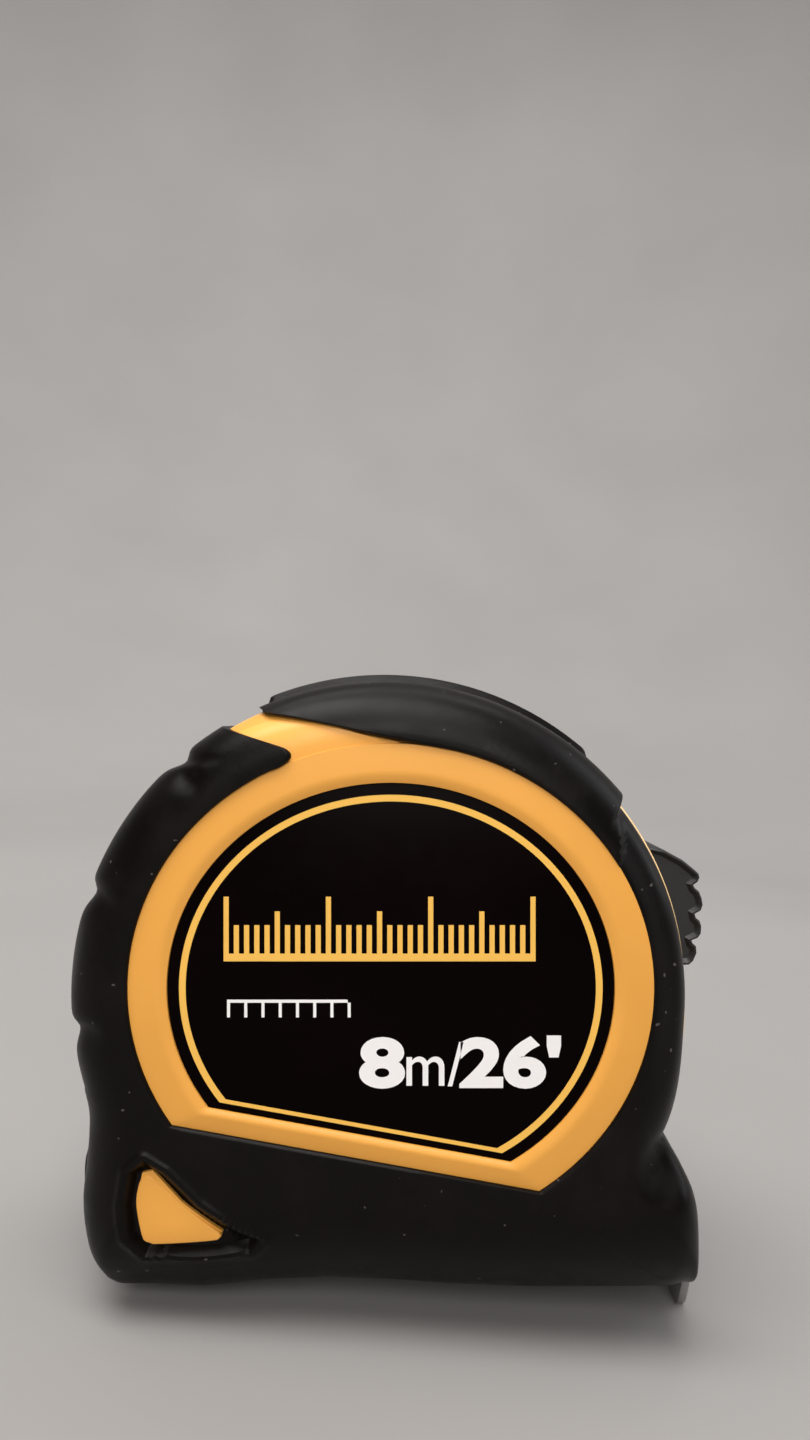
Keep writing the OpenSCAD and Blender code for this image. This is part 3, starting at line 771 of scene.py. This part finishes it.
def track_rails():
    """The two thin rails beside the thumb lock, lower towards their upper end, in a pale cream that paints a
    highlight on the yellow shell's edge.
    """
    bm = bmesh.new()
    for side in (-1, 1):
        rows = []
        for a in np.linspace(TRACK[0], TRACK[1] + 3.5, 90):
            top = CASE_R + 0.45 - 0.023 * a + 0.3 * smooth(0, -12, a) - 1.2 * smooth(-14, -22, a)
            section = [(RAIL_FOOT, RAIL_IN), (top - RAIL_ROUND, RAIL_IN), (top, RAIL_IN + RAIL_ROUND),
                       (top, RAIL_OUT - RAIL_ROUND), (top - RAIL_ROUND, RAIL_OUT), (RAIL_FOOT, RAIL_OUT),
                       (RAIL_FOOT, RAIL_IN)]
            rows.append([(rim_point(a, r)[0], side * y, rim_point(a, r)[1]) for r, y in section])
        part = closed_up(grid_of(np.array(rows)))
        mesh = bpy.data.meshes.new("rail_part")
        part.to_mesh(mesh)
        part.free()
        bm.from_mesh(mesh)
        bpy.data.meshes.remove(mesh)
    new_piece("track_rails", bm, "case", "case_yellow", rail_cream)


track_rails()


# ---------------------------------------------------------------- yellow ring, band and inlay

def loop_points(inset, count=300):
    """The closed D outline at an inset: round from the right corner to the left, then along the chord."""
    left, right = chord_corners(inset)
    corner_l = chord_point(left, inset)
    corner_r = chord_point(right, inset)
    a, b = RING_A - inset, RING_B - inset
    from_r = ring_turn(corner_r, inset)
    to_l = ring_turn(corner_l, inset) + 2 * math.pi
    round_part = int(count * 0.8)
    turn = np.linspace(from_r, to_l, round_part, endpoint=False)
    along = np.linspace(left, right, count - round_part, endpoint=False)
    upper = np.stack([RING_X + a * np.cos(turn), RING_Z + b * np.sin(turn)], axis=-1)
    lower = np.stack([along, CHORD_Z + CHORD_STEP * inset + CHORD_SLOPE * (along - RING_X)], axis=-1)
    return np.concatenate([upper, lower])


def ring_sweep(section, sign, count=300):
    """A ring with the D outline, swept with a closed section of (inset, distance from the seam)."""
    rows = []
    for inset, y in [*section, section[0]]:
        flat = loop_points(inset, count)
        flat = np.concatenate([flat, flat[:1]])
        rows.append(np.stack([flat[:, 0], np.full(len(flat), sign * y), flat[:, 1]], axis=-1))
    return closed_up(grid_of(np.stack(rows, axis=1)))


RING_CREST = HALF_T - 0.15
RING_INNER = HALF_T - 0.42
RING_OUTER = HALF_T - 0.52
RING_FOOT = HALF_T - 1.9
RING_CREST_AT = 0.74                # the crest's place, as a share of the ring's width
INLAY_DROP = 0.72                   # the heel's inlay lies this far under the rubber's face
INLAY_FOOT = 1.9                    # and is this deep at its foot


def ring_section(base_inset):
    """Low edge by the rubber, a soft crown, a crest near the label and a small step down to it."""
    points = [(base_inset - 0.06, RING_FOOT), (base_inset - 0.06, RING_OUTER - 0.1)]
    crest = RING_CREST_AT
    for t in np.linspace(0, 1, 13):
        inset = base_inset + RING_W * t
        if t < crest:
            y = RING_CREST - (RING_CREST - RING_OUTER) * ((crest - t) / crest) ** 1.1
        else:
            y = RING_CREST - (RING_CREST - RING_INNER) * ((t - crest) / (1 - crest)) ** 1.6
        points.append((inset, y))
    points.append((base_inset + RING_W + 0.03, RING_INNER - 0.1))
    points.append((base_inset + RING_W + 0.03, RING_FOOT))
    return points


new_piece("front_ring", ring_sweep(ring_section(0), -1), "case", "case_yellow", case_yellow)
new_piece("rear_ring", ring_sweep(ring_section(REAR_INSET), 1), "case", "case_yellow", case_yellow)


BAND_DROP = 0.68                    # the band lies this far under the rubber's face
BAND_T = 0.9                        # thickness of the band
BAND_START, BAND_TURN = 117, 42     # the band's foot on the ring, in degrees
BAND_END, BAND_SPREAD = 122.4, 10   # the band's end on the rim, in degrees


def band():
    """The strip from the ring up over the rim, a little under the rubber's face."""
    rows = []
    for k in np.linspace(0, 1, 25):
        start = np.array(ring_point(BAND_START - BAND_TURN * k, 1.2))
        rim_angle = BAND_END - BAND_SPREAD * k
        end = np.array(rim_point(rim_angle))
        out = np.array([math.cos(math.radians(rim_angle)), math.sin(math.radians(rim_angle))])
        row = []
        for t in [*np.linspace(0, 1, 18, endpoint=False), 0.965, 0.98, 0.99, 0.996, 1.0]:
            flat = start + (end - start) * t
            y = face_height(flat[:1], flat[1:])[0] - BAND_DROP
            flat = flat - out * BAND_DROP * smooth(0.6, 1.0, t)
            row.append((flat[0], -y, flat[1]))
        flat = end - out * BAND_DROP
        for y in (10, 6, 3, 0.05):
            row.append((flat[0], -y, flat[1]))
        rows.append(row)
    bm = grid_of(np.array(rows))
    bmesh.ops.solidify(bm, geom=bm.faces, thickness=BAND_T)
    bmesh.ops.recalc_face_normals(bm, faces=bm.faces)
    return bm


new_piece("front_band", band(), "case", "case_yellow", band_yellow)


def heel_inlay():
    """The small yellow window near the heel, under the rubber's face."""
    outline = [tuple(p) for p in curve_through([*WINDOW, WINDOW[0]], 0.5)[:-1]]
    bm, top = plate(outline, -HALF_T + INLAY_DROP, -HALF_T + INLAY_FOOT)
    bevel_edges(bm, top, 0.18, 3)
    new_piece("heel_inlay", bm, "case", "case_yellow", case_yellow)


heel_inlay()


# ---------------------------------------------------------------- labels

LABEL_TOP = HALF_T - 0.68
LABEL_LOW = HALF_T - 1.2
PRINT_T = 0.035                     # thickness of the print over its label
PRINT_ROOT = 0.05                   # depth of the print's foot inside the label
LINE_INSET = 1.42                   # from the label's edge to its thin line
FIGURE_SHARE = 0.69                 # height of a figure in the built-in font, for a size of 1


def label(name, node, inset, sign):
    top = sign * LABEL_TOP
    bm, edges = plate([tuple(p) for p in loop_points(inset + 0.05, 240)], top, sign * LABEL_LOW)
    bevel_edges(bm, edges, 0.12, 2)
    piece = new_piece(name, bm, "case", "label_black", label_black)
    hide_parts(node)


def print_ring(name, inset, width, sign):
    low, top = LABEL_TOP - PRINT_ROOT, LABEL_TOP + PRINT_T
    section = [(inset, low), (inset, top), (inset + width, top), (inset + width, low)]
    new_piece(name, ring_sweep(section, sign), "case", "label_black", print_yellow)


def joined_boxes(name, boxes, material):
    """Flat printed bars, each (x0, z0, x1, z1), as one piece."""
    bm = bmesh.new()
    for x0, z0, x1, z1 in boxes:
        made = bmesh.ops.create_cube(bm, size=1)
        bmesh.ops.scale(bm, vec=(x1 - x0, PRINT_T + PRINT_ROOT, z1 - z0), verts=made["verts"])
        centre = ((x0 + x1) / 2, -LABEL_TOP - (PRINT_T - PRINT_ROOT) / 2, (z0 + z1) / 2)
        bmesh.ops.translate(bm, vec=centre, verts=made["verts"])
    new_piece(name, bm, "case", "label_black", material)


def lettering(name, text, height, x, z, heavy, wide, material):
    """Plain numerals standing on the label, as a mesh."""
    curve = bpy.data.curves.new(name, "FONT")
    curve.body = text
    curve.size = height * MM / FIGURE_SHARE
    curve.offset = heavy * MM
    curve.extrude = (PRINT_T + PRINT_ROOT) / 2 * MM
    curve.resolution_u = 6
    maker = bpy.data.objects.new(name + "_maker", curve)
    bpy.context.scene.collection.objects.link(maker)
    bpy.context.view_layer.update()
    mesh = bpy.data.meshes.new_from_object(maker.evaluated_get(bpy.context.evaluated_depsgraph_get()))
    bpy.data.objects.remove(maker)
    bpy.data.curves.remove(curve)
    mesh.name = name
    mesh.transform(Matrix.Diagonal((wide, 1, 1, 1)))
    mesh.transform(Matrix.Rotation(math.pi / 2, 4, "X"))
    mesh.transform(Matrix.Translation((x * MM, -(LABEL_TOP + (PRINT_T - PRINT_ROOT) / 2) * MM, z * MM)))
    mesh.materials.clear()
    mesh.materials.append(material)
    piece = bpy.data.objects.new(name, mesh)
    bpy.context.scene.collection.objects.link(piece)
    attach(piece, "case")


label("front_plate", "front_label", RING_W, -1)
label("rear_plate", "rear_label", RING_W + REAR_INSET, 1)
print_ring("thin_line", RING_W + LINE_INSET, 0.78, -1)
print_ring("rear_line", RING_W + REAR_INSET + LINE_INSET, 0.6, 1)


def scale_motif():
    """A plain rule across the label: a bar with marks of three lengths, over a fine white line."""
    left, right, foot = -18.4, 17.2, 43.4
    count = 30
    step = (right - left) / count
    bars = [(left, foot, right + 0.6, foot + 0.9)]
    for i in range(count + 1):
        length = 6.6 if i % 10 == 0 else (4.9 if i % 5 == 0 else 3.3)
        x = left + i * step
        bars.append((x, foot + 0.9, x + 0.6, foot + length + 0.9))
    joined_boxes("rule_motif", bars, print_yellow)
    white = [(left + 0.4, 38.6, left + 14.4, 38.95)]
    white += [(left + 0.4 + 2 * i, 36.9, left + 0.75 + 2 * i, 38.6) for i in range(8)]
    joined_boxes("fine_motif", white, print_white)


scale_motif()
lettering("size_eight", "8", 5.3, -2.6, 29.0, 0.3, 1.35, print_white)
lettering("size_metre", "m/", 5.0, 2.45, 29.0, 0.03, 0.92, print_white)
lettering("size_feet", "26'", 5.3, 9.0, 29.0, 0.3, 1.3, print_white)


# ---------------------------------------------------------------- thumb lock

BUTTON = [(38.0, 26.0), (39.6, 24.2), (41.3, 21.2), (42.3, 18.9), (42.65, 18.0), (42.6, 17.3), (42.2, 16.7),
          (41.55, 16.4), (41.65, 15.8), (42.05, 15.0), (42.15, 13.8), (42.1, 12.6), (41.7, 11.7),
          (40.85, 11.3), (40.9, 10.6), (41.3, 9.9), (41.4, 8.9), (41.2, 7.6), (40.7, 6.9), (39.9, 6.6),
          (40.0, 6.1), (40.4, 5.4), (40.4, 4.2), (39.9, 2.8), (39.3, 2.1), (38.0, 2.1)]
BUTTON_Y = 6.5                      # half the button's width


def lock_button_piece():
    """The toothed thumb button, with both side faces sunk a little inside their rims."""
    outline = [rim_point(a, r) for r, a in BUTTON]
    outline += [rim_point(a, 36.7) for a in np.linspace(3.2, 25, 12)]
    bm = plate(outline, -BUTTON_Y, BUTTON_Y)[0]
    rims = [e for e in bm.edges if abs(e.verts[0].co.y - e.verts[1].co.y) < 1e-5]
    bevel_edges(bm, rims, 0.45, 3)
    sides = [f for f in bm.faces if abs(f.normal.y) > 0.99 and f.calc_area() > 20]
    bmesh.ops.inset_region(bm, faces=sides, thickness=0.55, depth=0)
    for face in sides:
        bmesh.ops.translate(bm, verts=face.verts, vec=(0, 0.5 if face.normal.y < 0 else -0.5, 0))
    bmesh.ops.triangulate(bm, faces=[f for f in bm.faces if len(f.verts) > 8])
    piece = new_piece("thumb_button", bm, "lock", "lock_plastic", lock_black)
    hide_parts("lock_button")


lock_button_piece()


# ---------------------------------------------------------------- steel pieces and the rest

refined("belt_clip", "clip_strip", "case", "spring_steel", 0.22, 2, spring_steel)
refined("clip_screw", "clip_bolt", "case", "screw_steel", 0.12, 2, screw_steel)
refined("case_screws", "rim_screws", "case", "screw_steel", 0.12, 2, screw_steel)
refined("end_hook", "hook_plate", "hook", "hook_steel", 0.2, 2, hook_steel)
refined("hook_rivets", "rivet_heads", "blade", "hook_steel", 0.1, 2, hook_steel)
refined("mouth_bumper", "mouth_stop", "case", "stop_rubber", 0.15, 2, stop_black)

finishes = {
    "front_shell": case_yellow, "rear_shell": case_yellow, "post": screw_steel,
    "power_spring": blue_spring, "drum": drum_black, "drum_lid": drum_black, "blade_coil": blade_yellow,
    "blade_tail": blade_yellow, "mouth_guide": guide_steel, "lock_slider": lock_black,
    "lock_spring": spring_steel,
}
for node, material in finishes.items():
    mesh = frame["nodes"][node].data
    mesh.materials.clear()
    mesh.materials.append(material)


# ---------------------------------------------------------------- stage, light and camera

def stage():
    """A pale floor that curves up into walls, tilted to touch the heel and the hook's tip."""
    hook_low, hook_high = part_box("end_hook")
    heel = Vector((grip_low.x * MM + 0.008, 0, 0))
    tip = Vector((hook_high.x, 0, hook_low.z))
    tilt = math.atan2(heel.z - tip.z, tip.x - heel.x)
    radius, corner, height = 1.3, 0.8, 1.4
    profile = [(0.0, 0.0), (0.1, 0.0), (0.3, 0.0), (radius - corner, 0.0)]
    for a in np.linspace(0, math.pi / 2, 20)[1:]:
        profile.append((radius - corner + corner * math.sin(a), corner * (1 - math.cos(a))))
    profile.append((radius, height))
    bm = bmesh.new()
    verts = [bm.verts.new((x, 0, z)) for x, z in profile]
    edges = [bm.edges.new(pair) for pair in zip(verts, verts[1:])]
    bmesh.ops.spin(bm, geom=verts + edges, cent=(0, 0, 0), axis=(0, 0, 1), angle=2 * math.pi, steps=96,
                   use_merge=True)
    bmesh.ops.remove_doubles(bm, verts=bm.verts, dist=1e-5)
    bmesh.ops.recalc_face_normals(bm, faces=bm.faces)
    bmesh.ops.rotate(bm, verts=bm.verts, cent=(0, 0, 0), matrix=Matrix.Rotation(tilt, 3, "Y"))
    bmesh.ops.translate(bm, verts=bm.verts, vec=heel)
    mesh = bpy.data.meshes.new("floor")
    bm.to_mesh(mesh)
    bm.free()
    for face in mesh.polygons:
        face.use_smooth = True
    floor = bpy.data.objects.new("floor", mesh)
    bpy.context.scene.collection.objects.link(floor)
    paint, bsdf = shader("floor_paint", (0.30, 0.29, 0.284), 0.85, gloss=0.2)
    join(paint, ramp(paint, noise(paint, 4, 3), [(0.3, (0.285, 0.276, 0.270)), (0.7, (0.315, 0.304, 0.298))]),
         bsdf.inputs["Base Color"])
    mesh.materials.append(paint)


stage()


def area_light(name, place_at, aim, size, power, colour):
    data = bpy.data.lights.new(name, "AREA")
    data.shape = "RECTANGLE"
    data.size, data.size_y = size
    data.energy = power
    data.color = colour
    lamp = bpy.data.objects.new(name, data)
    lamp.location = place_at
    lamp.rotation_euler = (Vector(aim) - Vector(place_at)).to_track_quat("-Z", "Y").to_euler()
    bpy.context.scene.collection.objects.link(lamp)


middle = (0, 0, AXIS_Z * MM)
area_light("window_light", (-0.10, -0.22, 0.72), middle, (0.7, 0.4), 6.6, (1.0, 0.97, 0.94))
area_light("front_fill", (0.03, -0.72, 0.45), middle, (0.5, 0.3), 3.3, (1.0, 0.98, 0.95))
area_light("side_fill", (0.6, 0.1, 0.35), middle, (0.4, 0.5), 1.1, (0.96, 0.98, 1.0))
area_light("wall_light", (0.0, 0.35, 0.9), (0, 1.2, 0.35), (0.9, 0.4), 10.5, (1.0, 0.98, 0.96))

bpy.context.scene.view_settings.view_transform = "Standard"

world = bpy.data.worlds.new("room")
world.use_nodes = True
world.node_tree.nodes["Background"].inputs["Color"].default_value = (0.92, 0.93, 0.95, 1)
world.node_tree.nodes["Background"].inputs["Strength"].default_value = 0.3
bpy.context.scene.world = world

camera_data = bpy.data.cameras.new("camera")
camera_data.lens = 26
camera_data.sensor_width = 36
camera_data.clip_start = 0.01
camera = bpy.data.objects.new("camera", camera_data)
camera.location = (0.00265, -0.1405, 0.0714)
camera.rotation_euler = (math.pi / 2, 0, 0)
bpy.context.scene.collection.objects.link(camera)
bpy.context.scene.camera = camera
